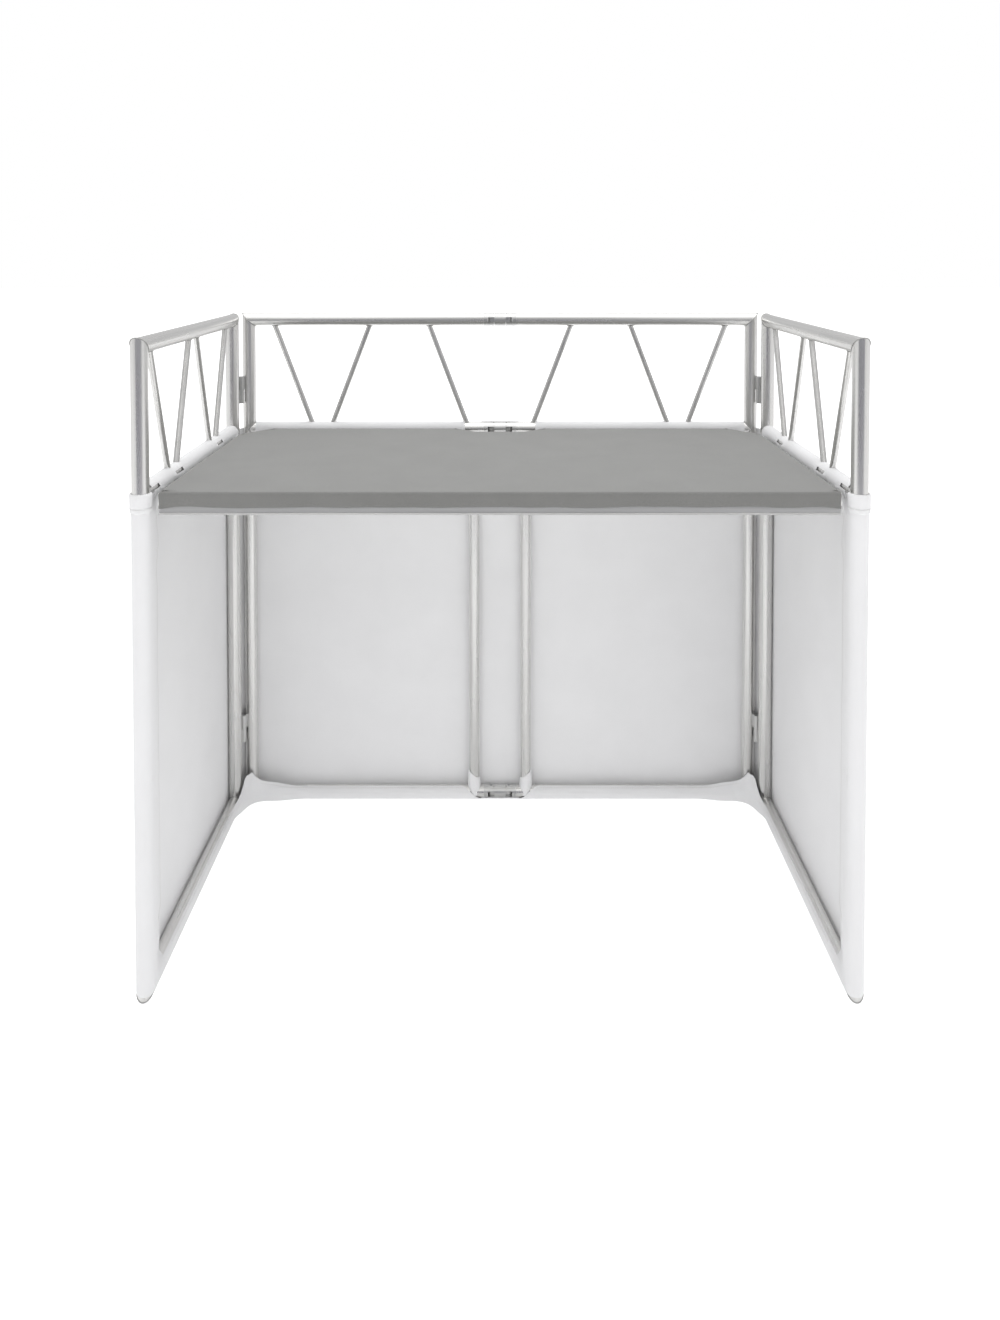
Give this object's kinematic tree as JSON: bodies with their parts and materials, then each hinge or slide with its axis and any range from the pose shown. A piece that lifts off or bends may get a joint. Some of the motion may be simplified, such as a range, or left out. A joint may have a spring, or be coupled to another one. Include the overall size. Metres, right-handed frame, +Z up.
{
  "type": "folding dj booth",
  "caption": "Free-standing folding booth of hinged round-tube frames with braced guards, stretch scrims outside and a lift-out felt table.",
  "frame": {"origin": "on the floor, at the middle of the booth's width and depth", "axes": "+Z up, +Y towards the front panel (the audience side), +X to the right for the person who stands in the open side"},
  "size_m": [1.2776, 0.6696, 1.162],
  "materials": {
    "tube": "satin mill finish",
    "strip": "satin",
    "weld_steel": "satin",
    "steel": "bright zinc",
    "scrim": "matt stretch knit",
    "felt": "matt felt",
    "board": "white laminate on board"
  },
  "bodies": {
    "front_left": {"left_front_bottom_rail": "tube", "left_front_braces": "tube", "left_front_corner_post": "tube", "left_front_hinge_barrels": "weld_steel", "left_front_inner_post": "tube", "left_front_ledge": "tube", "left_front_link_pins": "steel", "left_front_mid_rail": "tube", "left_front_rail_forks": "tube", "left_front_scrim": "scrim", "left_front_top_rail": "tube"},
    "centre_link": {"centre_link_bottom": "tube", "centre_link_mid": "tube", "centre_link_top": "tube"},
    "front_right": {"right_front_bottom_rail": "tube", "right_front_braces": "tube", "right_front_corner_post": "tube", "right_front_hinge_barrels": "weld_steel", "right_front_inner_post": "tube", "right_front_ledge": "tube", "right_front_link_pins": "steel", "right_front_mid_rail": "tube", "right_front_rail_forks": "tube", "right_front_scrim": "scrim", "right_front_top_rail": "tube"},
    "left_wing": {"left_wing_bottom_rail": "tube", "left_wing_braces": "tube", "left_wing_far_post": "tube", "left_wing_hinge_barrels": "weld_steel", "left_wing_hinge_pins": "steel", "left_wing_ledges": "tube", "left_wing_mid_rail": "tube", "left_wing_near_post": "tube", "left_wing_scrim": "scrim", "left_wing_top_rail": "tube"},
    "right_wing": {"right_wing_bottom_rail": "tube", "right_wing_braces": "tube", "right_wing_far_post": "tube", "right_wing_hinge_barrels": "weld_steel", "right_wing_hinge_pins": "steel", "right_wing_ledges": "tube", "right_wing_mid_rail": "tube", "right_wing_near_post": "tube", "right_wing_scrim": "scrim", "right_wing_top_rail": "tube"},
    "table": {"table_back_left_strip": "strip", "table_back_right_strip": "strip", "table_board": "board", "table_felt": "felt", "table_front_strip": "strip", "table_left_strip": "strip", "table_right_strip": "strip", "table_screws": "steel"}
  },
  "joints": [
    {"name": "left_wing_swing", "type": "hinge", "parent": "front_left", "child": "left_wing", "pos_m": [-0.607, 0.299, 0.5], "axis": [0, 0, -1], "range_deg": [0, 90]},
    {"name": "right_wing_swing", "type": "hinge", "parent": "front_right", "child": "right_wing", "pos_m": [0.607, 0.299, 0.5], "axis": [0, 0, 1], "range_deg": [0, 90]},
    {"name": "link_turn", "type": "hinge", "parent": "front_left", "child": "centre_link", "pos_m": [-0.021, 0.318, 0.5], "axis": [0, 0, 1], "range_deg": [0, 90]},
    {"name": "front_fold", "type": "hinge", "parent": "centre_link", "child": "front_right", "pos_m": [0.021, 0.318, 0.5], "axis": [0, 0, 1], "range_deg": [0, 90]},
    {"name": "table_lift", "type": "slide", "parent": "front_left", "child": "table", "axis": [0, 0, 1], "range_m": [0, 0.35]}
  ]
}
